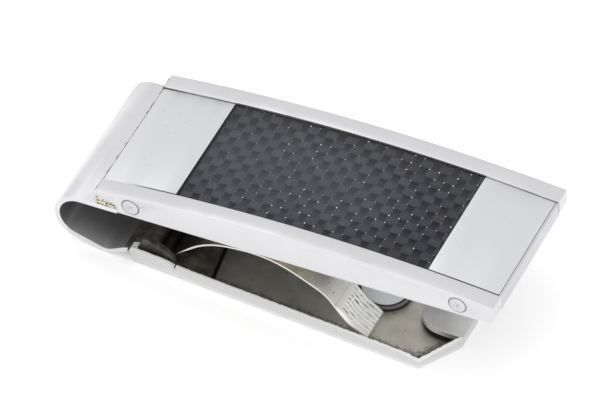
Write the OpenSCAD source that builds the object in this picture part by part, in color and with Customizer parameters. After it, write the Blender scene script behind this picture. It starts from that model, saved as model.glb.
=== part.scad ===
// Hinged money clip: an arched inlaid top bar, a looped spring band,
// and a shallow pressed tray that swings on a pin at the end of the band.
// X runs along the clip, Y across it, Z up. The tray lies on Z = 0.

/* [Overall] */
// Width of the clip
clip_w = 22.5; // [20:0.1:26]

/* [Top bar] */
// Length of the top bar along its own slope
bar_l = 55.3; // [50:0.1:62]
// Slope of the top bar, rising away from the loop
bar_slope = 6; // [3:0.1:8]
// Height of the bar's lower corner above the floor, at the loop end
bar_root_z = 7.94; // [7.4:0.02:8.6]
// Height of a side rail at its two ends
rail_end_h = 2.9; // [2.7:0.1:3.6]
// How much higher the rail's arched top is at the middle
rail_rise = 1.58; // [1:0.02:2.4]
// Thickness of a side rail
rail_w = 2.32; // [1.8:0.02:2.8]
// How far the covers lie below the tops of the rails
cover_recess = 0.25; // [0.1:0.05:0.5]
// Open seam between a cover and a rail
cover_seam = 0.1; // [0.05:0.01:0.2]
// Length of the cover at the loop end
rear_cover_l = 10.2; // [8:0.1:12]
// Length of the carbon inlay
inlay_l = 34.9; // [25:0.1:36]
// Thickness of the carbon inlay
inlay_t = 0.9; // [0.6:0.1:1.2]
// Thickness of the end cap
end_cap_t = 0.4; // [0.3:0.05:0.8]
// Place of the cross pins, from the loop end of the bar
pin_places = [4.9, 50.3];
// Height of the cross pins above the underside of the bar
cross_pin_z = 1.62; // [1.55:0.01:1.7]
// Radius of a cross pin's head
cross_head_r = 1.2; // [1:0.05:1.25]
// Radius of a cross pin's shank
cross_shank_r = 0.7; // [0.5:0.05:0.75]

/* [Loop band] */
// Thickness of the band
band_t = 0.72; // [0.6:0.02:0.8]
// How far the band hangs below the underside of the bar
band_drop = 0.2; // [0:0.05:0.3]
// Radius of the loop at the middle of the band's thickness
loop_r = 3.34; // [3.2:0.01:3.45]
// Fall of the band's lower leg towards the kink
leg_fall = 12.5; // [11:0.1:13.5]
// Place of the kink
kink_x = 1.7; // [1.4:0.1:2]
// Rise of the tail after the kink
tail_rise = 33; // [31:0.5:36]

/* [Hinge] */
// Place of the hinge pin along the clip
hinge_x = 6.9; // [6.8:0.05:7]
// Height of the hinge pin
hinge_z = 2; // [1.9:0.01:2.1]
// Radius of the hinge pin
hinge_pin_r = 0.6; // [0.5:0.02:0.64]
// Outer radius of the rolled knuckle on the band
knuckle_r = 1.3; // [1.2:0.02:1.32]
// Radial running clearance of a knuckle on its pin
running_gap = 0.05; // [0.02:0.01:0.09]

/* [Tray] */
// Thickness of the tray's floor
floor_t = 0.5; // [0.4:0.05:0.55]
// Thickness of the tray's walls
wall_t = 0.5; // [0.4:0.05:0.6]
// Height of the tray's walls
wall_h = 2.14; // [2:0.02:2.3]
// Radius of the bend between the floor and the walls
bend_r = 0.5; // [0.2:0.05:0.5]
// Where the long walls start
wall_start = 11.3; // [11.2:0.1:12]
// Where the long walls end and the corners are cut off
wall_end = 45.3; // [44:0.1:46]
// Outside face of the end wall
tray_end = 48.85; // [47:0.05:50]
// Half width of the end wall
end_half_w = 5.45; // [5:0.05:6.5]
// Reach of the tab that is folded in from the end wall
tab_reach = 6.6; // [5.5:0.1:7]
// Corner radius of the tab
tab_corner_r = 3.1; // [2:0.1:4]

/* [Leaf spring] */
// Thickness of the leaf
leaf_t = 0.28; // [0.2:0.02:0.3]
// Width of one arm of the leaf
leaf_arm_w = 5.15; // [4:0.05:5.2]
// Distance of an arm's outer edge from the middle of the clip
leaf_outer_y = 10.2; // [10:0.05:10.3]
// Number of ribs on each grip pad
pad_ribs = 7; // [4:1:8]

/* [Floor magnet] */
// Place of the magnet on the tray's floor
magnet_at = [36.15, -1.3];
// Outer radius of the steel cup that holds the magnet
cup_r = 3.7; // [3.3:0.05:3.75]
// Radius of the magnet
magnet_r = 3.05; // [2.6:0.05:3.1]

/* [Hidden] */
$fn = 64;
STEEL = "gainsboro";
DARK_STEEL = "dimgray";

half_w = clip_w / 2;
fit_gap = 0.02;
step_angle = 4;

// Top bar, in its own frame: x from the loop end, z from the underside
bar_mid = bar_l / 2;
arch_r = (bar_mid * bar_mid + rail_rise * rail_rise) / (2 * rail_rise);
arch_step = 1.2;
inner_half = half_w - rail_w;
cover_half = inner_half - cover_seam;
strip_top = band_t - band_drop + fit_gap;
rail_toe_r = 1.2;
inlay_start = rear_cover_l + 0.06;
inlay_end = inlay_start + inlay_l;
inlay_drop = cover_recess + 0.08;
cap_start = bar_l - end_cap_t;
head_depth = 1.2;

// Seat at each rail's foot for the band, filled with solder above the band
seat_l = 2.9;
seat_h = 1.15;
seat_root_h = 2.0;

// Band: centre line through the bar's underside, round the loop and out to the knuckle
seat_end = to_row([seat_l, band_t / 2 - band_drop]);
kink_r = 2.2;
kink_half_turn = (leg_fall + tail_rise) / 2;
kink_lean = (tail_rise - leg_fall) / 2;
floor_gap = 0.03;
kink = [kink_x, floor_gap + kink_r + band_t / 2 - kink_r / cos(kink_half_turn) * cos(kink_lean)];
loop_apex = meet(seat_end, bar_slope, kink, -leg_fall);
loop_half_angle = (bar_slope + leg_fall) / 2;
loop_lean = (bar_slope - leg_fall) / 2;
loop_centre_x = loop_apex.x + loop_r / sin(loop_half_angle) * cos(loop_lean);
hinge_at = [hinge_x, hinge_z];
knuckle_mid_r = (hinge_pin_r + running_gap + knuckle_r) / 2;
tail_len = 3;
tail_end = kink + tail_len * [cos(tail_rise), sin(tail_rise)];
to_hinge = hinge_at - tail_end;
tongue_angle = atan2(to_hinge.y, to_hinge.x) + asin(knuckle_mid_r / norm(to_hinge));
tongue_end = hinge_at + knuckle_mid_r * [-sin(tongue_angle), cos(tongue_angle)];
tail_clear_r = 2.35;

// Hinge bracket: two lugs on a base plate, inside the tray's ears
lug_in = 9.55;
lug_out = 10.3;
knuckle_half = 9.35;
ear_r = hinge_z;
ear_h = 2.45;
ear_slope_start = 9.9;
ear_slope_h = 0.35;
ear_end = 11.1;
slit_h = 0.45;
notch_end = 7.5;
side_strip_in = 9.5;
base_t = 0.4;
base_start = 8.95;
base_end = 15.7;
base_hollow = 1.4;

// Leaf: an eye on its own pin, a web across the clip, and two arched arms
leaf_eye = [9.3, 2.45];
leaf_pin_r = 0.4;
leaf_eye_r = leaf_pin_r + running_gap + leaf_t + 0.02;
leaf_eye_mid = leaf_eye_r - leaf_t / 2;
leaf_rise = 48;
leaf_foot = leaf_eye + leaf_eye_mid * [sin(leaf_rise), -cos(leaf_rise)];
leaf_turn_x = 14.8;
leaf_knees = [leaf_foot, [leaf_turn_x, leaf_foot.y + (leaf_turn_x - leaf_foot.x) * tan(leaf_rise)],
              [23.7, 9.5], [31.7, 6.25], [35, 2.3], [37.6, floor_t + 0.24]];
leaf_knee_r = [0, 10, 14, 6, 4, 0];
web_end = 14.2;
arm_start = 10.9;
pad_start = 33.05;
pad_base_t = 0.22;
rib_h = 0.14;

// Floor magnet: what is left under it of the cup that holds it
cup_floor_t = 0.25;

// The row's origin is under the middle of the whole clip
clip_left = loop_centre_x - loop_r - band_t / 2;
clip_right = (bar_l - rail_toe_r) * cos(bar_slope) - rail_toe_r * sin(bar_slope) + rail_toe_r;
clip_mid = (clip_left + clip_right) / 2;

// A point of the top bar's frame, as [x, z] of the clip
function to_row(p) = [p.x * cos(bar_slope) - p.y * sin(bar_slope),
                      bar_root_z + p.x * sin(bar_slope) + p.y * cos(bar_slope)];

// Where the line through p at angle a meets the line through q at angle b
function meet(p, a, q, b) =
    let (s = ((q.x - p.x) * sin(b) - (q.y - p.y) * cos(b)) / sin(b - a))
    p + s * [cos(a), sin(a)];

// Points and headings along a line through the corners, each rounded to its radius
function bend(corners, radii) = [
    [corners[0], heading(corners[0], corners[1])],
    for (i = [1 : len(corners) - 2])
        let (a = heading(corners[i - 1], corners[i]),
             b = heading(corners[i], corners[i + 1]),
             turn = wrap(b - a),
             side = turn > 0 ? 1 : -1,
             back = radii[i] * tan(abs(turn) / 2),
             start = corners[i] - back * [cos(a), sin(a)],
             centre = start + side * radii[i] * [-sin(a), cos(a)],
             steps = max(1, ceil(abs(turn) / step_angle)))
        for (k = [0 : steps])
            let (h = a + turn * k / steps)
            [centre - side * radii[i] * [-sin(h), cos(h)], h],
    [corners[len(corners) - 1], heading(corners[len(corners) - 2], corners[len(corners) - 1])]
];

function heading(p, q) = atan2(q.y - p.y, q.x - p.x);
function wrap(a) = a > 180 ? a - 360 : a <= -180 ? a + 360 : a;
function side_line(path, d) = [for (p = path) p[0] + d * [-sin(p[1]), cos(p[1])]];
function flipped(list) = [for (i = [len(list) - 1 : -1 : 0]) list[i]];

// A sheet's outline between two distances to the left of a path
module sheet_outline(path, low, high) {
    polygon(concat(side_line(path, low), flipped(side_line(path, high))));
}

// A flat outline in X and Z, given width in Y
module across(from_y, to_y) {
    translate([0, to_y, 0]) rotate([90, 0, 0]) linear_extrude(to_y - from_y) children();
}

module across_middle(half) {
    across(-half, half) children();
}

// A round bar or bore along Y
module round_y(at, r, from_y, to_y) {
    across(from_y, to_y) translate(at) circle(r);
}

module on_origin() {
    translate([-clip_mid, 0, 0]) children();
}

module in_bar() {
    on_origin() translate([0, 0, bar_root_z]) rotate([0, -bar_slope, 0]) children();
}

// ---- Top bar ----

// Height of the arched top, lowered by a depth, at a place along the bar
function arch_z(x, depth) =
    rail_end_h + rail_rise - arch_r + sqrt(pow(arch_r - depth, 2) - pow(x - bar_mid, 2));

// The arched top between two places, as points in order along the bar
function arch_line(depth, from_x, to_x) =
    let (steps = ceil((to_x - from_x) / arch_step))
    [for (i = [0 : steps]) let (x = from_x + (to_x - from_x) * i / steps) [x, arch_z(x, depth)]];

// Everything under the arched top, lowered by a depth
module under_arch(depth, from_x, to_x, from_z) {
    polygon(concat([[to_x, from_z], [from_x, from_z]], arch_line(depth, from_x, to_x)));
}

module rail_outline() {
    difference() {
        under_arch(0, 0, bar_l, 0);
        polygon([[-1, -1], [seat_l, -1], [seat_l, seat_h], [0, seat_root_h], [-1, seat_root_h + 0.3]]);
        translate([bar_l - rail_toe_r, -0.01]) difference() {
            square([rail_toe_r + 1, rail_toe_r + 0.01]);
            translate([0, rail_toe_r + 0.01]) circle(rail_toe_r);
        }
    }
}

module rail(side) {
    outer = side * half_w;
    inner = side * inner_half;
    deep = side * (half_w - head_depth - fit_gap);
    color(STEEL) in_bar() difference() {
        across(min(outer, inner), max(outer, inner)) rail_outline();
        for (x = pin_places) {
            round_y([x, cross_pin_z], cross_shank_r + fit_gap, -half_w - 1, half_w + 1);
            round_y([x, cross_pin_z], cross_head_r + 2 * fit_gap,
                    min(deep, side * (half_w + 1)), max(deep, side * (half_w + 1)));
        }
    }
}

module near_rail() {
    rail(-1);
}

module far_rail() {
    rail(1);
}

module cover(from_x, to_x, pin_x) {
    color(STEEL) in_bar() difference() {
        across_middle(cover_half) under_arch(cover_recess, from_x, to_x, strip_top);
        round_y([pin_x, cross_pin_z], cross_shank_r + fit_gap, -half_w, half_w);
    }
}

module rear_cover() {
    cover(0.02, rear_cover_l, pin_places[0]);
}

module front_cover() {
    cover(inlay_end + 0.06, cap_start - 0.05, pin_places[1]);
}

module carbon_inlay() {
    color("darkslategray") in_bar() across_middle(cover_half - 0.02)
        polygon(concat(arch_line(inlay_drop, inlay_start, inlay_end),
                       flipped(arch_line(inlay_drop + inlay_t, inlay_start, inlay_end))));
}

module inlay_core() {
    color("silver") in_bar() across_middle(cover_half - 0.1)
        under_arch(inlay_drop + inlay_t + fit_gap, inlay_start, inlay_end, strip_top);
}

module backing_plate() {
    color("silver") in_bar() across_middle(inner_half - fit_gap)
        translate([rear_cover_l + 0.1, 0]) square([cap_start - rear_cover_l - 2, strip_top - fit_gap]);
}

module end_cap() {
    cap_bottom = 0.5;
    cap_inset = 0.08;
    color(STEEL) in_bar() across_middle(inner_half - 0.06)
        under_arch(cover_recess, cap_start, bar_l - cap_inset, cap_bottom);
}

module cross_pin(x) {
    color("silver") in_bar() {
        round_y([x, cross_pin_z], cross_shank_r, -half_w + 0.5, half_w - 0.5);
        for (side = [-1, 1]) {
            face = side * (half_w + 0.02);
            deep = side * (half_w - head_depth);
            round_y([x, cross_pin_z], cross_head_r, min(face, deep), max(face, deep));
        }
    }
}

module rear_cross_pin() {
    cross_pin(pin_places[0]);
}

module front_cross_pin() {
    cross_pin(pin_places[1]);
}

module solder_fillets() {
    color("darkkhaki") in_bar() for (side = [-1, 1]) {
        outer = side * (half_w - 0.05);
        inner = side * inner_half;
        across(min(outer, inner), max(outer, inner))
            polygon([[0.05, strip_top], [seat_l - 0.03, strip_top],
                     [seat_l - 0.03, seat_h - 0.02], [0.05, seat_root_h - 0.04]]);
    }
}

// ---- Loop band ----

module loop_band() {
    loop_path = bend([seat_end, loop_apex, kink, tail_end, tongue_end], [0, loop_r, kink_r, 1.4, 0]);
    color("lightgray") {
        // The full width, cut back round the hinge so that it clears the tray's ears
        on_origin() difference() {
            across_middle(half_w) sheet_outline(loop_path, -band_t / 2, band_t / 2);
            round_y(hinge_at, tail_clear_r, -half_w - 1, -knuckle_half);
            round_y(hinge_at, tail_clear_r, knuckle_half, half_w + 1);
            round_y(hinge_at, hinge_pin_r + running_gap, -half_w, half_w);
        }
        // The rolled knuckle
        on_origin() difference() {
            round_y(hinge_at, knuckle_r, -knuckle_half, knuckle_half);
            round_y(hinge_at, hinge_pin_r + running_gap, -half_w, half_w);
        }
        // The narrow end that lies between the rails
        in_bar() across_middle(inner_half - fit_gap)
            translate([seat_l - 0.1, -band_drop]) square([rear_cover_l - seat_l, band_t]);
    }
}

// ---- Tray ----

module tray_plan(inset) {
    // Walls are measured square to each face of the plan
    corner_angle = atan2(half_w - end_half_w, tray_end - wall_end);
    corner_in = inset * tan(corner_angle / 2);
    end_in = inset * tan((90 - corner_angle) / 2);
    half = half_w - inset;
    polygon([[notch_end, -half], [wall_end - corner_in, -half], [tray_end - inset, end_in - end_half_w],
             [tray_end - inset, end_half_w - end_in], [wall_end - corner_in, half], [notch_end, half]]);
}

module ear_outline(top) {
    intersection() {
        union() {
            translate(hinge_at) circle(ear_r);
            translate([hinge_x, 0]) square([ear_end - hinge_x, top]);
        }
        polygon([[0, 0], [ear_end, 0], [ear_end, ear_h - ear_slope_h], [ear_slope_start, ear_h], [0, ear_h]]);
        square([ear_end, top]);
    }
    // Below the slit the ear and the wall are one
    translate([hinge_x, 0]) square([wall_start + 0.1 - hinge_x, min(top, wall_h - slit_h)]);
}

// Everything inside one upright face of the tray, rounded where the face meets the floor
module inside_face(direction, reach) {
    length = 150;
    height = 4;
    rotate([0, 0, direction]) rotate([90, 0, 0]) linear_extrude(length, center = true) difference() {
        translate([reach - length, 0]) square([length, height]);
        translate([reach - bend_r, -0.01]) difference() {
            square([bend_r + 1, bend_r + 0.01]);
            translate([0, bend_r + 0.01]) circle(bend_r);
        }
    }
}

module inside_tray_faces() {
    corner_dir = atan2(tray_end - wall_end, half_w - end_half_w);
    corner_reach = tray_end * cos(corner_dir) + end_half_w * sin(corner_dir);
    intersection() {
        inside_face(-90, half_w);
        inside_face(90, half_w);
        inside_face(0, tray_end);
        inside_face(corner_dir, corner_reach);
        inside_face(-corner_dir, corner_reach);
    }
}

// What is cut off the tops of the walls where they dip towards a corner
module corner_dip(side) {
    dip = 0.55;
    dip_slope = 18.5;
    translate([wall_end, side * half_w, wall_h - dip]) rotate([0, 0, -side * 135])
        rotate([0, -dip_slope, 0]) translate([-5, -20, 0]) cube([10, 40, 5]);
}

module tray_tab() {
    tab_x = tray_end - tab_reach;
    tab_half = end_half_w + 0.4;
    tab_t = wall_t;
    translate([0, 0, wall_h - tab_t]) linear_extrude(tab_t) intersection() {
        union() {
            for (side = [-1, 1])
                translate([tab_x + tab_corner_r, side * (tab_half - tab_corner_r)]) circle(tab_corner_r);
            translate([tab_x, tab_corner_r - tab_half])
                square([tab_corner_r * 2, 2 * (tab_half - tab_corner_r)]);
            translate([tab_x + tab_corner_r, -tab_half]) square([tab_reach, 2 * tab_half]);
        }
        tray_plan(0.1);
    }
}

module lower_tray() {
    color("lightgray") on_origin() intersection() {
        inside_tray_faces();
        union() {
            difference() {
                union() {
                    linear_extrude(floor_t) tray_plan(0);
                    difference() {
                        linear_extrude(wall_h) tray_plan(0);
                        translate([0, 0, floor_t]) linear_extrude(wall_h) tray_plan(wall_t);
                        translate([0, -half_w - 1, floor_t]) cube([wall_start, clip_w + 2, wall_h]);
                    }
                }
                for (side = [-1, 1]) corner_dip(side);
            }
            tray_tab();
            for (side = [-1, 1]) {
                ear_in = side * (half_w - wall_t);
                strip_in = side * side_strip_in;
                outer = side * half_w;
                across(min(ear_in, outer), max(ear_in, outer)) ear_outline(ear_h);
                across(min(strip_in, outer), max(strip_in, outer)) ear_outline(floor_t);
            }
        }
    }
}

module lug_outline() {
    polygon([[5.75, floor_t], [5.5, 2.1], [6.24, 3.95], [6.8, 4.03], [8.8, 3.45], [9.6, 3.1],
             [10.4, 2.45], [10.75, 1.6], [10.85, floor_t]]);
}

module hinge_bracket() {
    color(DARK_STEEL) on_origin() difference() {
        union() {
            for (side = [-1, 1])
                across(min(side * lug_in, side * lug_out), max(side * lug_in, side * lug_out))
                    lug_outline();
            // The base plate, whose front edge is hollowed towards its middle
            translate([0, 0, floor_t]) linear_extrude(base_t)
                polygon([[base_start, -lug_out], [base_end, -lug_out], [base_end - base_hollow, 0],
                         [base_end, lug_out], [base_start, lug_out]]);
        }
        round_y(hinge_at, hinge_pin_r + 0.01, -half_w, half_w);
        round_y(leaf_eye, leaf_pin_r + 0.01, -half_w, half_w);
    }
}

module hinge_pin() {
    color("silver") on_origin() round_y(hinge_at, hinge_pin_r, -lug_out, lug_out);
}

module leaf_pin() {
    color("silver") on_origin() round_y(leaf_eye, leaf_pin_r, -lug_out, lug_out);
}

module magnet_cup() {
    cup_h = 0.75;
    color(DARK_STEEL) on_origin() translate([magnet_at.x, magnet_at.y, floor_t]) difference() {
        cylinder(h = cup_h, r = cup_r);
        translate([0, 0, cup_floor_t]) cylinder(h = cup_h, r = magnet_r + fit_gap);
    }
}

module floor_magnet() {
    magnet_h = 0.65;
    color("silver") on_origin() translate([magnet_at.x, magnet_at.y, floor_t + cup_floor_t + fit_gap])
        cylinder(h = magnet_h, r = magnet_r);
}

// ---- Leaf spring ----

function leaf_path() = bend(leaf_knees, leaf_knee_r);

// The part of an outline between two places along the clip
module between(from_x, to_x) {
    intersection() {
        children();
        translate([from_x, 0]) square([to_x - from_x, 12]);
    }
}

module leaf_arm(side) {
    outer = side * leaf_outer_y;
    inner = side * (leaf_outer_y - leaf_arm_w);
    across(min(outer, inner), max(outer, inner)) between(arm_start, 40)
        sheet_outline(leaf_path(), -leaf_t / 2, leaf_t / 2);
}

module leaf_spring() {
    color("gray") on_origin() {
        leaf_arm(-1);
        leaf_arm(1);
        difference() {
            union() {
                across_middle(knuckle_half) between(leaf_eye.x, web_end)
                    sheet_outline(leaf_path(), -leaf_t / 2, leaf_t / 2);
                round_y(leaf_eye, leaf_eye_r, -knuckle_half, knuckle_half);
            }
            round_y(leaf_eye, leaf_pin_r + running_gap, -half_w, half_w);
        }
    }
}

module grip_pad(side) {
    margin = 0.9;
    rib_pitch = (leaf_arm_w - margin) / pad_ribs;
    outer = side * leaf_outer_y;
    inner = side * (leaf_outer_y - leaf_arm_w);
    low = leaf_t / 2 + 0.005;
    color("silver") on_origin() {
        across(min(outer, inner), max(outer, inner)) between(pad_start, 40)
            sheet_outline(leaf_path(), low, low + pad_base_t);
        for (i = [0 : pad_ribs - 1]) {
            rib_y = inner + side * (i + 0.5) * rib_pitch;
            across(rib_y - rib_pitch * 0.3, rib_y + rib_pitch * 0.3) between(pad_start + 0.4, 37.4)
                sheet_outline(leaf_path(), low, low + pad_base_t + rib_h);
        }
    }
}

module near_grip_pad() {
    grip_pad(-1);
}

module far_grip_pad() {
    grip_pad(1);
}

near_rail();
far_rail();
rear_cover();
front_cover();
carbon_inlay();
inlay_core();
backing_plate();
end_cap();
rear_cross_pin();
front_cross_pin();
solder_fillets();
loop_band();
lower_tray();
hinge_bracket();
hinge_pin();
leaf_pin();
magnet_cup();
floor_magnet();
leaf_spring();
near_grip_pad();
far_grip_pad();
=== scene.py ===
import math
import bmesh
import bpy
from mathutils import Matrix, Vector, noise
from mathutils.bvhtree import BVHTree


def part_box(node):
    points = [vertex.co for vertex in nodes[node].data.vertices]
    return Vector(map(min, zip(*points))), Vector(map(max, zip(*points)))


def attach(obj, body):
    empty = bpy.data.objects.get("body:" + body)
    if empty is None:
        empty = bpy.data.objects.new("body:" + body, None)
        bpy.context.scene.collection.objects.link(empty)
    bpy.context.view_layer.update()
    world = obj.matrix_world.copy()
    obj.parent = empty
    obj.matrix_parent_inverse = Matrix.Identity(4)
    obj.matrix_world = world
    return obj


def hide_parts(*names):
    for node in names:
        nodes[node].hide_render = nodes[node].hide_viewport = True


# The looks of the money clip. Lengths are in millimetres times MM, in the frame of the CAD:
# X along the clip, Y across it, Z up, with the tray on Z = 0.

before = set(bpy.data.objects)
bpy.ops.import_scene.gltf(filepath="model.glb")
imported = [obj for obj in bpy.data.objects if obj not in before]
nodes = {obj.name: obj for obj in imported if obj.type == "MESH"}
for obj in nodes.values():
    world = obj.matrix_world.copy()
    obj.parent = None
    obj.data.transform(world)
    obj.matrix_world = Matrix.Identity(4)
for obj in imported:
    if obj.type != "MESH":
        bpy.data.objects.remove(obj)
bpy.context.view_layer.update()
MM = 0.001

# ---- Places taken over from the CAD ----

# The top bar slopes, and its own frame starts at its lower corner at the loop end
BAR_SLOPE = math.radians(6)
BAR_FOOT = Vector((-24.515, 0.0, 7.94)) * MM
BAR_TURN = Matrix.Translation(BAR_FOOT) @ Matrix.Rotation(-BAR_SLOPE, 4, "Y")
HALF_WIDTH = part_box("lower_tray")[1].y
INLAY_START = 10.26 * MM
INLAY_LENGTH = 34.9 * MM
INLAY_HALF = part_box("carbon_inlay")[1].y
PIN_AXES = [(4.9 * MM, 1.62 * MM), (50.3 * MM, 1.62 * MM)]
# The tray's outline: its corner walls run from the side walls to the narrower end wall
TRAY_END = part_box("lower_tray")[1].x
CORNER_START = TRAY_END - 3.55 * MM
END_HALF = 5.45 * MM
TAB_START = TRAY_END - 6.6 * MM
TAB_HALF = END_HALF + 0.4 * MM
TAB_ROUND = 3.1 * MM
# How thick the magnet's cup is round the magnet
CUP_WALL = 0.65 * MM
# How far the front edge of the hinge bracket's base plate is hollowed towards its middle
BASE_HOLLOW = 1.4 * MM
# A point in the open middle of the loop, which tells the band's inside faces from its outside
LOOP_MIDDLE = Vector((-20.0, 0.0, 5.0)) * MM
# Where the band's lower leg to the hinge begins, which gets the hinge's painted shade, and where the
# leaf's arms do
HINGE_START = -20.5 * MM
LEAF_ARMS_START = -12.5 * MM

# ---- Camera, floor and light ----

CAMERA_AZIMUTH = math.radians(22.63)
CAMERA_ELEVATION = math.radians(47.72)
CAMERA_ROLL = math.radians(3.41)
CAMERA_DISTANCE = 1.0
CAMERA_LENS = 474.3
CAMERA_TARGET = Vector((-1.385, 0.0, 9.13)) * MM


def make_camera():
    """A long lens from the photograph's side, so nearly without perspective, and a little rolled."""
    sa, ca = math.sin(CAMERA_AZIMUTH), math.cos(CAMERA_AZIMUTH)
    se, ce = math.sin(CAMERA_ELEVATION), math.cos(CAMERA_ELEVATION)
    back = Vector((sa * ce, -ca * ce, se))
    level = Vector((ca, sa, 0.0))
    upright = back.cross(level)
    right = level * math.cos(CAMERA_ROLL) + upright * math.sin(CAMERA_ROLL)
    up = upright * math.cos(CAMERA_ROLL) - level * math.sin(CAMERA_ROLL)
    turn = Matrix((right, up, back)).transposed().to_4x4()
    data = bpy.data.cameras.new("camera")
    data.lens = CAMERA_LENS
    data.clip_start = 0.05
    data.clip_end = 10
    camera = bpy.data.objects.new("camera", data)
    bpy.context.scene.collection.objects.link(camera)
    camera.matrix_world = Matrix.Translation(CAMERA_TARGET + back * CAMERA_DISTANCE) @ turn
    bpy.context.scene.camera = camera


def make_floor():
    """A white light table: a pale floor that glows a little, as the photograph's does."""
    bpy.ops.mesh.primitive_plane_add(size=3)
    floor = bpy.context.object
    floor.name = "floor"
    m = bpy.data.materials.new("floor")
    m.use_nodes = True
    b = m.node_tree.nodes["Principled BSDF"]
    b.inputs["Base Color"].default_value = (0.92, 0.92, 0.92, 1)
    b.inputs["Roughness"].default_value = 0.9
    b.inputs["Specular IOR Level"].default_value = 0.1
    b.inputs["Emission Color"].default_value = (1, 1, 1, 1)
    b.inputs["Emission Strength"].default_value = 0.21
    floor.data.materials.append(m)


def area(name, place, size, power):
    """A square lamp that shines at the object. place and size are in metres, power in watts."""
    data = bpy.data.lights.new(name, "AREA")
    data.shape = "SQUARE"
    data.size = size
    data.energy = power
    light = bpy.data.objects.new(name, data)
    bpy.context.scene.collection.objects.link(light)
    light.location = place
    light.rotation_euler = (Vector((0, 0, 0)) - light.location).to_track_quat("-Z", "Y").to_euler()


def make_light():
    """Soft light from nearly everywhere, with one large lamp and a weaker one on the other side."""
    area("key", Vector((-0.3, -0.2, 0.6)), 0.8, 1.0)
    area("fill", Vector((0.5, -0.5, 0.3)), 0.5, 0.3)
    world = bpy.data.worlds.new("world")
    bpy.context.scene.world = world
    world.use_nodes = True
    background = world.node_tree.nodes["Background"]
    background.inputs["Color"].default_value = (1, 1, 1, 1)
    background.inputs["Strength"].default_value = 0.95
    bpy.context.scene.view_settings.view_transform = "Standard"


# ---- Materials ----


class Look:
    """A material being built: its node tree, and short calls that add nodes to it."""

    def __init__(self, name, roughness, metallic=1.0):
        self.material = bpy.data.materials.new(name)
        self.material.use_nodes = True
        self.tree = self.material.node_tree
        self.surface = self.tree.nodes["Principled BSDF"]
        self.surface.inputs["Roughness"].default_value = roughness
        self.surface.inputs["Metallic"].default_value = metallic
        self.place = self.add("TexCoord").outputs["Object"]

    def add(self, kind, sockets=(), **settings):
        """A node of one kind. sockets gives its inputs, by number or name, as values or links."""
        node = self.tree.nodes.new("ShaderNode" + kind)
        for key, value in settings.items():
            setattr(node, key, value)
        for key, value in dict(sockets).items():
            self.put(node.inputs[key], value)
        return node

    def put(self, socket, value):
        """Link another node's output into a socket, or set the socket's constant."""
        if isinstance(value, bpy.types.NodeSocket):
            self.tree.links.new(value, socket)
        else:
            socket.default_value = value

    def set(self, name, value):
        """Give one of the surface's own inputs a link or a constant."""
        self.put(self.surface.inputs[name], value)

    def math(self, operation, a, b=0.0, c=0.0):
        return self.add("Math", {0: a, 1: b, 2: c}, operation=operation).outputs[0]

    def steps(self, value, low, high, to_low=0.0, to_high=1.0):
        """The value mapped smoothly from the range low to high, and held at its ends."""
        sockets = {"Value": value, "From Min": low, "From Max": high}
        sockets |= {"To Min": to_low, "To Max": to_high}
        return self.add("MapRange", sockets, interpolation_type="SMOOTHSTEP").outputs["Result"]

    def blend(self, share, a, b):
        """Colour a where share is 0, and colour b where it is 1."""
        mix = self.add("Mix", {"Factor": share}, data_type="RGBA")
        for socket, value in ((mix.inputs[6], a), (mix.inputs[7], b)):
            self.put(socket, value if isinstance(value, bpy.types.NodeSocket) else (*value, 1))
        return mix.outputs[2]

    def length(self, a, b):
        """The length of the arrow with these two components."""
        squares = self.math("MULTIPLY", a, a), self.math("MULTIPLY", b, b)
        return self.math("SQRT", self.math("ADD", *squares))

    def noise(self, size, detail=2.0, stretch=(1, 1, 1), place=None):
        """Noise whose blotches are about this size, drawn out by these factors along X, Y and Z."""
        scale = [1 / (size * s) for s in stretch]
        spread = self.add("Mapping", {"Vector": place or self.place, "Scale": scale})
        sockets = {"Vector": spread.outputs[0], "Scale": 1.0, "Detail": detail}
        return self.add("TexNoise", sockets).outputs["Fac"]

    def split(self, vector):
        """The three components of a vector."""
        return self.add("SeparateXYZ", {0: vector}).outputs

    def bar_place(self, start=0.0, side=0.0, units=(1.0, 1.0)):
        """Coordinates in the top bar's own frame, from a point on it and in units of length."""
        at = BAR_TURN @ Vector((start, side, 0))
        sockets = {"Vector": self.place, "Location": at, "Rotation": (0, -BAR_SLOPE, 0),
                   "Scale": (*units, 1.0)}
        return self.add("Mapping", sockets, vector_type="TEXTURE").outputs[0]

    def in_from_wall(self):
        """How far in from the outside of the tray's nearest wall, and of its nearest corner wall."""
        x, y, _ = self.split(self.place)
        side = self.math("ABSOLUTE", y)
        corner = math.atan2(TRAY_END - CORNER_START, HALF_WIDTH - END_HALF)
        reach = TRAY_END * math.cos(corner) + END_HALF * math.sin(corner)
        along = self.math("MULTIPLY", x, math.cos(corner))
        slanted = self.math("MULTIPLY_ADD", side, math.sin(corner), along)
        to_corner = self.math("SUBTRACT", reach, slanted)
        straight = self.math("MINIMUM", self.math("SUBTRACT", HALF_WIDTH, side),
                             self.math("SUBTRACT", TRAY_END, x))
        return self.math("MINIMUM", straight, to_corner), to_corner

    def bump(self, height, depth, strength=1.0):
        """Small relief: a height from 0 to 1, and the depth that it stands for."""
        sockets = {"Height": height, "Distance": depth, "Strength": strength}
        self.set("Normal", self.add("Bump", sockets).outputs[0])


def shade(color, amount):
    """A colour made darker or lighter by a factor."""
    return tuple(c * amount for c in color)


def worked(name, roughness, grain=(8, 1, 1), grain_depth=0.0008, metallic=1.0):
    """Worked metal without its colour: a fine drawn grain, and any relief of it, in mm."""
    look = Look(name, roughness, metallic)
    lines = look.noise(0.06 * MM, 3, grain)
    look.set("Roughness", look.steps(lines, 0.3, 0.7, roughness * 0.85, roughness * 1.15))
    if grain_depth:
        look.bump(lines, grain_depth * MM)
    return look


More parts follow.
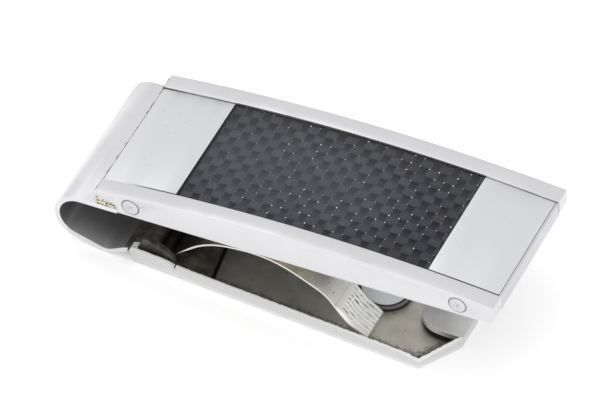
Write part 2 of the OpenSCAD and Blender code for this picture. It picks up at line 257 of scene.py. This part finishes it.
def metal(name, color, roughness, grain=(8, 1, 1), grain_depth=0.0008, cloud=0.96, metallic=1.0):
    """Worked metal in one softly clouded colour."""
    look = worked(name, roughness, grain, grain_depth, metallic)
    clouds = look.steps(look.noise(4 * MM, 3), 0.35, 0.65)
    look.set("Base Color", look.blend(clouds, shade(color, cloud), color))
    return look.material


def tray_outside():
    """The tray's outside, painted paler where its walls turn under, as a painted reflection of the
    floor.
    """
    look = worked("tray_outside", 0.4, (8, 1, 1), 0.001)
    # Painted reflection of the floor: the walls are painted paler towards their foot
    wear_and_reflection = look.steps(look.split(look.place)[2], 0.0, 1.2 * MM, 0.6, 0.0)
    look.set("Base Color", look.blend(wear_and_reflection, (0.66, 0.665, 0.66), (0.95, 0.95, 0.96)))
    return look.material


def floor_tarnish_and_shade():
    """The tray's inside: painted shade makes it dull and grey near the hinge, under the bar; towards its
    end it is tanned and speckled.
    """
    look = worked("tray_inside", 0.45, (4, 1, 1), 0.0015, 0.6)
    x = look.split(look.place)[0]
    # Painted shade: the floor goes from dark grey near the hinge to tan towards its end
    along = look.steps(x, 2 * MM, 14 * MM)
    patches = look.noise(2.6 * MM, 4)
    tan = look.blend(look.steps(patches, 0.35, 0.7), (0.66, 0.63, 0.55), (0.78, 0.75, 0.66))
    grey = look.blend(look.steps(patches, 0.35, 0.7), (0.25, 0.245, 0.225), (0.31, 0.305, 0.28))
    colors = look.blend(along, grey, tan)
    specks = look.steps(look.noise(0.5 * MM, 4), 0.66, 0.72)
    colors = look.blend(specks, colors, (0.1, 0.065, 0.04))
    # Painted shade lies in the step in front of the hinge bracket's base plate
    base_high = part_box("hinge_bracket")[1]
    side = look.math("ABSOLUTE", look.split(look.place)[1])
    hollow = look.math("MULTIPLY", look.math("SUBTRACT", base_high.y, side), BASE_HOLLOW / base_high.y)
    step = look.math("ADD", look.math("SUBTRACT", x, base_high.x), hollow)
    dirt_and_shade = look.math("MULTIPLY", look.steps(step, -0.1 * MM, 0.0),
                     look.steps(step, 0.3 * MM, 0.65 * MM, 1.0, 0.0))
    colors = look.blend(dirt_and_shade, colors, (0.01, 0.009, 0.008))
    # Painted shade also lies in the corners at the tray's end, most of it under the tab
    near_wall, near_corner = look.in_from_wall()
    ragged = look.steps(look.noise(0.35 * MM, 4), 0.3, 0.7, -0.35 * MM, 0.35 * MM)
    at_corner = look.steps(look.math("ADD", near_corner, ragged), 1.3 * MM, 1.9 * MM, 0.9, 0.0)
    at_side = look.steps(look.math("ADD", near_wall, ragged), 1.9 * MM, 2.4 * MM, 0.5, 0.0)
    from_x = look.math("MAXIMUM", look.math("SUBTRACT", TAB_START + TAB_ROUND, x), 0.0)
    from_y = look.math("MAXIMUM", look.math("SUBTRACT", side, TAB_HALF - TAB_ROUND), 0.0)
    from_tab = look.length(from_x, from_y)
    under_tab = look.steps(from_tab, TAB_ROUND - 0.4 * MM, TAB_ROUND + 0.35 * MM, 0.95, 0.0)
    painted_corner_shade = look.math("MAXIMUM", at_corner, look.math("MAXIMUM", under_tab, at_side))
    look.set("Base Color", look.blend(painted_corner_shade, colors, (0.035, 0.025, 0.017)))
    return look.material


def rim_metal():
    """The sheared rim of the tray: bright, with painted shade along its inner edge."""
    look = Look("tray_rim", 0.5, 0.15)
    depth, _ = look.in_from_wall()
    ragged = look.steps(look.noise(0.5 * MM, 4), 0.3, 0.7, -0.05 * MM, 0.05 * MM)
    dirt_and_shade = look.steps(look.math("ADD", depth, ragged), 0.36 * MM, 0.44 * MM, 0.0, 0.9)
    look.set("Base Color", look.blend(dirt_and_shade, (0.93, 0.93, 0.925), (0.05, 0.045, 0.04)))
    return look.material


def hinge_steel_with_painted_shade():
    """The hinge and the steel round it: painted shade makes it nearly black, and it is rubbed lighter in
    places.
    """
    look = Look("inner_steel", 0.6, 0.4)
    wear_and_reflection = look.steps(look.noise(1.4 * MM, 3), 0.35, 0.75)
    look.set("Base Color", look.blend(wear_and_reflection, (0.045, 0.041, 0.034), (0.13, 0.122, 0.103)))
    look.bump(look.noise(0.15 * MM, 4, (2, 1, 1)), 0.006 * MM)
    return look.material


def carbon():
    """Plain weave carbon under resin: painted sheen makes the tows along the bar bright and the tows
    across it dark.
    """
    pitch = (1.314 * MM, 1.343 * MM)
    look = Look("carbon_weave", 0.3, 0.0)
    cell = look.bar_place(INLAY_START + 0.37 * MM, -0.85 * MM, pitch)
    plain_u, plain_v, _ = look.split(cell)
    u = look.math("ADD", plain_u, look.steps(look.noise(5 * MM, 2), 0.3, 0.7, -0.07, 0.07))
    v = look.math("ADD", plain_v, look.steps(look.noise(7 * MM, 1), 0.3, 0.7, -0.09, 0.09))
    column, row = look.math("FLOOR", u), look.math("FLOOR", v)
    across = look.math("FLOORED_MODULO", look.math("ADD", column, row), 2.0)
    fu = look.math("SUBTRACT", look.math("FRACT", u), 0.5)
    fv = look.math("SUBTRACT", look.math("FRACT", v), 0.5)

    # Where a tow across shows, its two ends are covered by the rounded ends of the tows along
    bow = look.math("MULTIPLY", look.math("MULTIPLY", fv, fv), 0.4)
    rim = look.math("SUBTRACT", look.math("ABSOLUTE", fu), bow)
    dark = look.math("MULTIPLY", across, look.steps(rim, 0.27, 0.47, 1.0, 0.0))

    # Every tow's crossing has its own tone, and its fibres run along it
    square = look.add("CombineXYZ", {0: column, 1: row}).outputs[0]
    own = look.add("TexWhiteNoise", {"Vector": square}, noise_dimensions="3D").outputs["Value"]
    fibre = look.noise(0.05 * MM, 2, (30, 1, 1))
    along_color = look.blend(look.steps(fibre, 0.3, 0.7), (0.028, 0.029, 0.039), (0.086, 0.089, 0.108))
    along_color = look.blend(look.steps(own, 0, 1, 0.0, 0.55), along_color, (0.026, 0.027, 0.037))
    # Painted shade darkens each bright tow towards its sides and ends
    side_shade = look.math("ADD", look.steps(look.math("ABSOLUTE", fv), 0.15, 0.5, 0.0, 0.35),
                           look.steps(look.math("ABSOLUTE", fu), 0.3, 0.9, 0.0, 0.45))
    along_color = look.blend(side_shade, along_color, (0.02, 0.02, 0.028))
    # Each dark tow is painted darker towards its far end, as shade
    across_color = look.blend(look.steps(fv, -0.45, 0.4), (0.024, 0.025, 0.032), (0.002, 0.002, 0.003))
    colors = look.blend(dark, along_color, across_color)

    # A painted broad highlight lies towards the loop end, painted shade darkens the weave towards its
    # edges, and painted shadow from the seams lies along its edges
    x, y, _ = look.split(look.bar_place(INLAY_START))
    off_x = look.math("DIVIDE", look.math("SUBTRACT", x, 0.32 * INLAY_LENGTH), 0.62 * INLAY_LENGTH)
    off_y = look.math("DIVIDE", look.math("ADD", y, 0.1 * INLAY_HALF), 1.05 * INLAY_HALF)
    off = look.math("ADD", look.math("MULTIPLY", off_x, off_x), look.math("MULTIPLY", off_y, off_y))
    painted_highlight = look.steps(off, 0.0, 1.0, 1.0, 0.0)
    colors = look.blend(look.math("MULTIPLY", painted_highlight, 0.33), colors, (0.1, 0.102, 0.122))
    colors = look.blend(look.steps(off, 0.3, 1.3, 0.0, 0.3), colors, (0.008, 0.008, 0.01))
    corner = look.steps(x, 0.1 * MM, 0.75 * MM, 1.0, 0.0)
    far = look.steps(y, INLAY_HALF - 0.5 * MM, INLAY_HALF - 0.1 * MM)
    colors = look.blend(look.math("MAXIMUM", corner, far), colors, (0.002, 0.002, 0.003))

    # Painted glints from resin-filled pits at some of the crossings, fewer towards the loop end
    nearest_u = look.math("FLOOR", look.math("ADD", u, 0.5))
    nearest_v = look.math("FLOOR", look.math("ADD", v, 0.5))
    crossing = look.add("CombineXYZ", {0: nearest_u, 1: nearest_v}).outputs[0]
    chance = look.add("TexWhiteNoise", {"Vector": crossing}, noise_dimensions="3D").outputs["Value"]
    here = look.steps(x, 0.0, 0.5 * INLAY_LENGTH, 0.55, 1.0)
    size = look.steps(look.math("MULTIPLY", chance, here), 0.15, 1.0, 0.0, 0.07)
    cu, cv = look.math("SUBTRACT", u, nearest_u), look.math("SUBTRACT", v, nearest_v)
    away = look.length(cu, cv)
    painted_glint = look.math("GREATER_THAN", size, away)
    look.set("Base Color", look.blend(look.math("MULTIPLY", painted_glint, 0.9), colors, (0.75, 0.76, 0.78)))

    # Each tow is rounded along its run, and dips under at its ends
    hump_along = look.math("COSINE", look.math("MULTIPLY", fu, math.pi))
    hump_across = look.math("COSINE", look.math("MULTIPLY", fv, math.pi))
    height = look.math("ADD", look.math("MULTIPLY", look.math("SUBTRACT", 1.0, dark), hump_along),
                       look.math("MULTIPLY", dark, hump_across))
    look.bump(height, 0.03 * MM, 0.6)
    look.set("Specular IOR Level", 0.2)
    look.set("Coat Weight", 0.12)
    look.set("Coat Roughness", 0.08)
    return look.material


def leaf_metal():
    """The leaf's faces: painted shade makes them black at the root, then grey with a brown bloom and
    small spots.
    """
    look = worked("spring_steel", 0.5, (10, 1, 1), 0.001)
    x = look.split(look.place)[0]
    bloom = look.steps(look.noise(2 * MM, 3), 0.3, 0.65)
    olive = look.blend(bloom, (0.42, 0.38, 0.24), (0.66, 0.61, 0.46))
    grey = look.blend(bloom, (0.6, 0.59, 0.54), (0.66, 0.655, 0.62))
    colors = look.blend(look.steps(x, 2 * MM, 7 * MM), olive, grey)
    specks = look.steps(look.noise(0.4 * MM, 4), 0.66, 0.71)
    colors = look.blend(specks, colors, (0.09, 0.06, 0.035))
    # Painted shade: the leaf is black at its root by the hinge
    root = look.steps(x, -12 * MM, -6 * MM, 1.0, 0.0)
    look.set("Base Color", look.blend(root, colors, (0.045, 0.042, 0.036)))
    return look.material


def pin_metal():
    """Pin heads: pale, dark only at their edges, with a faint punched mark."""
    look = worked("pin_steel", 0.32, grain_depth=0)
    low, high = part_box("front_cross_pin")
    head_r = (high.z - low.z) / 2
    x, _, z = look.split(look.bar_place())
    rings = []
    for pin_x, pin_z in PIN_AXES:
        dx = look.math("SUBTRACT", x, pin_x)
        dz = look.math("SUBTRACT", z, pin_z)
        rings.append(look.length(dx, dz))
    radius = look.math("MINIMUM", *rings)
    ring = look.steps(radius, head_r - 0.16 * MM, head_r - 0.04 * MM)
    mark = look.math("MULTIPLY", look.steps(radius, 0.2 * MM, 0.5 * MM, 1.0, 0.0),
                     look.steps(look.noise(0.25 * MM, 3), 0.45, 0.6))
    dark = look.math("MAXIMUM", look.math("MULTIPLY", ring, 0.75), look.math("MULTIPLY", mark, 0.6))
    look.set("Base Color", look.blend(dark, (0.64, 0.64, 0.66), (0.14, 0.14, 0.15)))
    return look.material


def cover_metal():
    """The covers: pale and even, with faint smudges, and painted shade in the seam along the near rail.
    """
    look = worked("cover_steel", 0.36, (1, 8, 1), 0.0003)
    x, y, _ = look.split(look.bar_place())
    smudge = look.steps(look.noise(0.9 * MM, 4), 0.64, 0.74, 0.0, 0.3)
    colors = look.blend(smudge, (0.725, 0.728, 0.738), (0.52, 0.52, 0.54))
    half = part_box("rear_cover")[1].y
    # Painted shade in the seam along the near rail
    seam = look.math("MULTIPLY", look.steps(y, 0.3 * MM - half, 0.22 * MM - half),
                     look.steps(x, 2.5 * MM, 7 * MM))
    look.set("Base Color", look.blend(seam, colors, (0.02, 0.02, 0.022)))
    return look.material


def cup_metal():
    """The magnet's cup: painted shade in the gap round the magnet, a painted highlight on its rim, a
    painted contact shadow at its foot, and a grey side.
    """
    look = worked("cup_steel", 0.4, (1, 1, 1), 0.001)
    low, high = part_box("magnet_cup")
    middle = (low + high) / 2
    x, y, z = look.split(look.place)
    dx, dy = look.math("SUBTRACT", x, middle.x), look.math("SUBTRACT", y, middle.y)
    radius = look.length(dx, dy)
    inner = (high.x - low.x) / 2 - CUP_WALL
    # Painted shade in the gap round the magnet
    gap = look.steps(radius, inner + 0.2 * MM, inner + 0.3 * MM, 1.0, 0.0)
    # A painted highlight along the top of the rim
    rim = look.steps(z, high.z - 0.12 * MM, high.z - 0.04 * MM)
    colors = look.blend(rim, (0.06, 0.056, 0.05), (0.24, 0.235, 0.22))
    # A painted contact shadow at the foot
    foot = look.steps(z, low.z + 0.1 * MM, low.z + 0.3 * MM, 1.0, 0.0)
    colors = look.blend(foot, colors, (0.05, 0.045, 0.04))
    look.set("Base Color", look.blend(gap, colors, (0.02, 0.02, 0.02)))
    return look.material


def pad_metal():
    """Bright ribs, with dirt left in parts of the grooves between them."""
    look = worked("pad_steel", 0.42, (1, 1, 1), 0.001, 0.55)
    groove = look.add("Attribute", attribute_name="groove").outputs["Fac"]
    patchy = look.steps(look.noise(0.6 * MM, 3, (2, 1, 1)), 0.4, 0.6, 0.1, 0.95)
    low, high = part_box("near_grip_pad")
    fresh = look.steps(look.split(look.place)[0], low.x + 1.5 * MM, high.x, 1.0, 0.35)
    dirt_and_shade = look.math("MULTIPLY", look.steps(groove, 0.2, 0.8), look.math("MULTIPLY", patchy, fresh))
    look.set("Base Color", look.blend(dirt_and_shade, (0.84, 0.835, 0.805), (0.07, 0.06, 0.045)))
    return look.material


def solder_metal():
    """Solder: pale lumps, yellow and brown stains, and black spots painted as the shade of crevices."""
    look = Look("solder", 0.45)
    small = look.noise(0.34 * MM, 4)
    broad = look.noise(0.6 * MM, 3)
    colors = look.blend(look.steps(small, 0.42, 0.6), (0.8, 0.79, 0.72), (0.5, 0.45, 0.25))
    colors = look.blend(look.steps(broad, 0.55, 0.66), colors, (0.3, 0.17, 0.04))
    # Black spots painted as shade in the crevices
    colors = look.blend(look.steps(look.noise(0.3 * MM, 3), 0.56, 0.62), colors, (0.03, 0.02, 0.01))
    look.set("Base Color", colors)
    look.bump(small, 0.08 * MM)
    return look.material


def residue():
    """Burnt flux: brown to nearly black."""
    look = Look("seam_residue", 0.6, 0.4)
    stain = look.noise(0.5 * MM, 4)
    burnt = look.steps(stain, 0.4, 0.65)
    look.set("Base Color", look.blend(burnt, (0.06, 0.05, 0.038), (0.3, 0.25, 0.16)))
    look.bump(stain, 0.05 * MM)
    return look.material


def use(names, look):
    """Give whole CAD nodes one material."""
    for name in names:
        mesh = nodes[name].data
        mesh.materials.clear()
        mesh.materials.append(look)


def use_by_face(name, looks, choose):
    """Give each face of a CAD node one of several materials, as choose(face) says."""
    mesh = nodes[name].data
    mesh.materials.clear()
    for look in looks:
        mesh.materials.append(look)
    for face in mesh.polygons:
        face.material_index = choose(face)


def band_side(face):
    """0 on the outside of the band and its edges, 1 on the inside of the loop, painted darker as shade,
    2 at the hinge, painted nearly black as shade.
    """
    c = face.center
    within = HALF_WIDTH - 0.2 * MM
    if c.x > HINGE_START and c.z < LOOP_MIDDLE.z and abs(c.y) < within:
        return 2
    return 1 if face.normal.dot(LOOP_MIDDLE - c) > 0 else 0


def tray_side(face):
    """0 outside, 1 on the floor and the inner faces, 2 on the tab, 3 on the rim, 4 on the tab's edge."""
    c, up = face.center, face.normal.z
    above_floor, above_hollow, tab_low, tab_edge_low = 0.6 * MM, 1.0 * MM, 1.5 * MM, 1.65 * MM
    tab_half, tab_edge_half = 5.0 * MM, 5.9 * MM
    by_tab = c.x > TRAY_END - 7 * MM
    if up > 0.9:
        on_tab = by_tab and c.x < TRAY_END - 0.3 * MM and abs(c.y) < tab_half and c.z > tab_low
        return 1 if c.z < above_floor else 2 if on_tab else 3
    if up < -0.9:
        return 1 if c.z > above_hollow else 0
    if by_tab and c.x < TRAY_END - 1 * MM and abs(c.y) < tab_edge_half and c.z > tab_edge_low:
        return 4
    tray_middle = Vector((5 * MM, 0, c.z))
    return 1 if (c - tray_middle).dot(face.normal) < 0 else 0


def leaf_side(face):
    """1 on the bright sheared edges of the leaf's arms, 0 on its faces and at its root."""
    return 1 if abs(face.normal.y) > 0.9 and face.center.x > LEAF_ARMS_START else 0


def dress_cad():
    """Materials for every CAD node that stays in the picture."""
    polished = metal("polished_steel", (0.7, 0.7, 0.713), 0.34, grain_depth=0, cloud=0.98)
    cap = metal("end_steel", (0.64, 0.64, 0.67), 0.4, (1, 8, 1), 0.0003)
    band_out = metal("band_outside", (0.74, 0.74, 0.755), 0.36, (1, 12, 1), 0.0006)
    # The inside of the loop is the band's steel painted darker, as shade
    band_in = metal("band_inside", (0.4, 0.395, 0.4), 0.42, (1, 10, 1), 0.0012)
    tab = metal("tab_steel", (0.78, 0.78, 0.77), 0.5, (1, 6, 1), 0.001, 0.85, metallic=0.7)
    # The hinge's steel is painted nearly black, as shade
    dull = hinge_steel_with_painted_shade()
    nickel = metal("nickel", (0.86, 0.88, 0.9), 0.6, (1, 1, 1), 0.001, metallic=0.3)
    edge = metal("leaf_edge", (0.78, 0.775, 0.75), 0.4)
    core = metal("core_metal", (0.6, 0.6, 0.61), 0.4)

    use(["near_rail", "far_rail"], polished)
    use(["end_cap"], cap)
    use(["rear_cover", "front_cover"], cover_metal())
    use(["rear_cross_pin", "front_cross_pin"], pin_metal())
    use(["hinge_bracket", "hinge_pin", "leaf_pin"], dull)
    use_by_face("leaf_spring", [leaf_metal(), edge], leaf_side)
    use(["floor_magnet"], nickel)
    use(["magnet_cup"], cup_metal())
    use(["inlay_core", "backing_plate"], core)
    use(["carbon_inlay"], carbon())
    use_by_face("loop_band", [band_out, band_in, dull], band_side)
    use_by_face("lower_tray", [tray_outside(), floor_tarnish_and_shade(), tab, rim_metal(), edge], tray_side)


# ---- Softened edges on the CAD nodes ----

# The width of each node's softened edge, in mm
EDGES = {
    "near_rail": 0.1, "far_rail": 0.1, "rear_cover": 0.04, "front_cover": 0.04, "end_cap": 0.06,
    "rear_cross_pin": 0.06, "front_cross_pin": 0.06, "loop_band": 0.07, "lower_tray": 0.16,
    "hinge_bracket": 0.08, "hinge_pin": 0.06, "leaf_pin": 0.05, "magnet_cup": 0.08,
    "floor_magnet": 0.08, "leaf_spring": 0.04, "carbon_inlay": 0.03, "inlay_core": 0.04,
    "backing_plate": 0.04,
}


def soften(name, width):
    """Round a node's sharp edges a little, and shade the rest smoothly."""
    node = nodes[name]
    for face in node.data.polygons:
        face.use_smooth = True
    weld = node.modifiers.new("weld", "WELD")
    weld.merge_threshold = 0.001 * MM
    flat = node.modifiers.new("flat", "DECIMATE")
    flat.decimate_type = "DISSOLVE"
    flat.angle_limit = math.radians(0.5)
    flat.delimit = {"MATERIAL"}
    bevel = node.modifiers.new("edge", "BEVEL")
    bevel.width = width * MM
    bevel.segments = 2
    bevel.limit_method = "ANGLE"
    bevel.angle_limit = math.radians(32)
    bevel.harden_normals = True


# ---- Pieces built here ----


def grid_solid(name, counts, place):
    """A closed block of a fine grid: place(u, v, w), each from 0 to 1, says where its points go."""
    nu, nv, nw = counts
    mesh = bmesh.new()
    points = {}

    def point(i, j, k):
        if (i, j, k) not in points:
            points[i, j, k] = mesh.verts.new(place(i / nu, j / nv, k / nw))
        return points[i, j, k]

    def wall(steps_a, steps_b, at, outward):
        for a in range(steps_a):
            for b in range(steps_b):
                ring = [point(*at(a, b)), point(*at(a + 1, b)),
                        point(*at(a + 1, b + 1)), point(*at(a, b + 1))]
                mesh.faces.new(ring if outward else ring[::-1])

    for end, outward in ((0, False), (1, True)):
        wall(nu, nv, lambda a, b: (a, b, nw * end), outward)
        wall(nv, nw, lambda a, b: (nu * end, a, b), outward)
        wall(nw, nu, lambda a, b: (b, nv * end, a), outward)
    bmesh.ops.recalc_face_normals(mesh, faces=mesh.faces)
    for face in mesh.faces:
        face.smooth = True
    data = bpy.data.meshes.new(name)
    mesh.to_mesh(data)
    mesh.free()
    data.set_sharp_from_angle(angle=math.radians(50))
    piece = bpy.data.objects.new(name, data)
    bpy.context.scene.collection.objects.link(piece)
    return piece


def join(name, pieces):
    """Several pieces made into one object of this name."""
    bpy.ops.object.select_all(action="DESELECT")
    for piece in pieces:
        piece.select_set(True)
    bpy.context.view_layer.objects.active = pieces[0]
    bpy.ops.object.join()
    pieces[0].name = name
    return pieces[0]


def finish_piece(piece, material, body, replaced=()):
    """Put a built piece, with its material, on its body, in place of the CAD nodes that it replaces."""
    piece.data.materials.clear()
    piece.data.materials.append(material)
    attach(piece, body)
    if replaced:
        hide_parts(*replaced)


def rounded(distance, radius):
    """How much of its full height an edge has, at a distance in from it."""
    d = min(max(distance / radius, 0.0), 1.0)
    return math.sqrt(1 - (1 - d) ** 2)


def make_solder():
    """The lumpy solder that fills the seat of the band at the foot of each rail."""
    # In mm, in the bar's frame: a bead's run, its foot, and its height at its two ends
    start, length, low, high_start, high_end = 0.03, 2.85, 0.5, 2.0, 1.13
    inner, outer = 8.95, 11.2
    edge_r = 0.45
    beads = []
    for side in (-1, 1):
        def place(u, v, w):
            x = start + length * u
            top = high_start + (high_end - high_start) * u
            z = low + (top - low) * w
            y = inner + (outer - inner) * v
            lump = noise.noise(Vector((x * 2.6, y * 2.6 * side, z * 2.6)))
            grit = noise.noise(Vector((x * 7, y * 7 * side, z * 7)))
            round_off = rounded(min(w, 1 - w, 0.5 * u + 0.1, 1 - u) * (top - low), edge_r)
            swell = v * (0.08 + 0.2 * lump + 0.14 * grit - 0.3 * (1 - round_off))
            p = Vector((x + 0.05 * grit, side * (y + swell), z + 0.05 * lump))
            return BAR_TURN @ (p * MM)
        beads.append(grid_solid("bead", (36, 20, 18), place))
    solder = join("solder_beads", beads)
    finish_piece(solder, solder_metal(), "top", ["solder_fillets"])


def make_seam_residue():
    """The thin broken line of burnt flux along the band's seam with the bar."""
    # In mm, in the bar's frame. The line steps up where it passes over the rails
    seam_x, seam_z, reach = 0.03, 2.62, 11.1
    height, end_r, edge_r = 0.35, 0.3, 0.5
    rail_y, rail_step = 8.9, 0.25

    def place(u, v, w):
        y = reach * (2 * u - 1)
        rough = noise.noise(Vector((y * 0.8, 3.1, 0))) + 0.6 * noise.noise(Vector((y * 3.5, 7.7, 0)))
        out = 0.13 + 0.2 * max(0.0, rough + 0.05)
        x = seam_x - out * v * rounded(min(u, 1 - u) * 2 * reach, end_r)
        z = seam_z - height * (1 - w) - 0.1 * v * (1 - rounded(min(w, 1 - w), edge_r))
        if abs(y) > rail_y:
            z += rail_step
        return BAR_TURN @ (Vector((x, y, z)) * MM)

    line = grid_solid("seam_residue", (260, 3, 4), place)
    finish_piece(line, residue(), "top")


# How many steps a pad's run along the leaf is measured in
LEAF_STEPS = 400


def leaf_surface():
    """The leaf's CAD mesh, to find its upper surface from above."""
    data = nodes["leaf_spring"].data
    corners = [v.co.copy() for v in data.vertices]
    return BVHTree.FromPolygons(corners, [list(f.vertices) for f in data.polygons])


def run_of_leaf(tree, start_x, end_x, y):
    """Close points along the leaf's upper surface, and how far along it each one is."""
    above = 20 * MM
    fine = []
    for i in range(LEAF_STEPS + 1):
        x = start_x + (end_x - start_x) * i / LEAF_STEPS
        hit = tree.ray_cast(Vector((x, y, above)), Vector((0, 0, -1)))[0]
        if hit is not None:
            fine.append(hit)
    lengths = [0.0]
    for a, b in zip(fine, fine[1:]):
        lengths.append(lengths[-1] + (b - a).length)
    return fine, lengths


def at_length(fine, lengths, s):
    """The point and the upward normal at a distance along a run of points."""
    i = 1
    while i < len(lengths) - 1 and lengths[i] < s:
        i += 1
    gap = lengths[i] - lengths[i - 1]
    share = (s - lengths[i - 1]) / gap if gap else 0.0
    # The slope is taken over the points this far on either side
    half = LEAF_STEPS // 40
    before, after = fine[max(0, i - half)], fine[min(len(fine) - 1, i + half - 1)]
    t = (after - before).normalized()
    return fine[i - 1].lerp(fine[i], share), Vector((-t.z, 0, t.x))


def pad_height(s, total, v, width):
    """The pad's thickness and its groove's depth (0 to 1), s along it and v across, in mm."""
    # The outer margin and the plain start have no grooves; base is the thickness under them
    margin, plain, ribs, base, depth = 0.75, 0.75, 7, 0.2, 0.17
    groove_w, corner_r, end_r, ramp_l = 0.13, 0.12, 0.32, 1.8
    pitch = (width - margin) / ribs
    wave = 0.06 * noise.noise(Vector((s * 0.25, v * 0.5, 2.3)))
    wave += 0.03 * noise.noise(Vector((s * 1.8, v, 5.1)))
    phase = (v + wave) / pitch
    off_middle = abs(phase - round(phase)) * pitch
    worn = noise.noise(Vector((s * 1.6, round(phase) * 3.7, 0.4)))
    groove = math.exp(-(off_middle / groove_w) ** 2) * min(max(0.75 + 1.1 * worn, 0.15), 1.2)
    if v > width - margin + 0.1:
        groove = 0.0
    groove *= min(max((s - plain) / 0.25, 0.0), 1.0)
    fine = 0.012 * noise.noise(Vector((s * 5, v * 5, 1.0)))
    edge = rounded(min(v, width - v), corner_r) * rounded(total - s, end_r)
    ramp = 1 - (1 - min(1.0, 0.02 + s / ramp_l)) ** 2
    return (base + depth * (1 - groove) + fine) * edge * ramp, groove


def make_pads(material):
    """The ribbed pads on the ends of the leaf's arms, laid on the leaf's own upper surface."""
    tree = leaf_surface()
    start_gap, end_gap = 0.02 * MM, 0.14 * MM
    for name, side in (("near_grip_pad", -1), ("far_grip_pad", 1)):
        low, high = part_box(name)
        inner, outer = sorted((abs(low.y), abs(high.y)))
        width = (outer - inner) / MM
        middle_y = side * (inner + outer) / 2
        fine, lengths = run_of_leaf(tree, low.x + start_gap, high.x - end_gap, middle_y)
        total = lengths[-1] / MM
        grooves = []

        def place(u, v, w):
            s = total * u
            point, normal = at_length(fine, lengths, s * MM)
            height, groove = pad_height(s, total, width * v, width)
            grooves.append(max(0.0, groove))
            foot = Vector((point.x, side * (inner + (outer - inner) * v), point.z))
            return foot + normal * (height * w * MM)

        pad = grid_solid(name + "_ribs", (90, 110, 1), place)
        dirt_and_shade = pad.data.attributes.new("groove", "FLOAT", "POINT")
        dirt_and_shade.data.foreach_set("value", grooves)
        finish_piece(pad, material, "leaf", [name])


make_camera()
make_floor()
make_light()
dress_cad()
for node_name, edge_width in EDGES.items():
    soften(node_name, edge_width)
make_solder()
make_seam_residue()
make_pads(pad_metal())
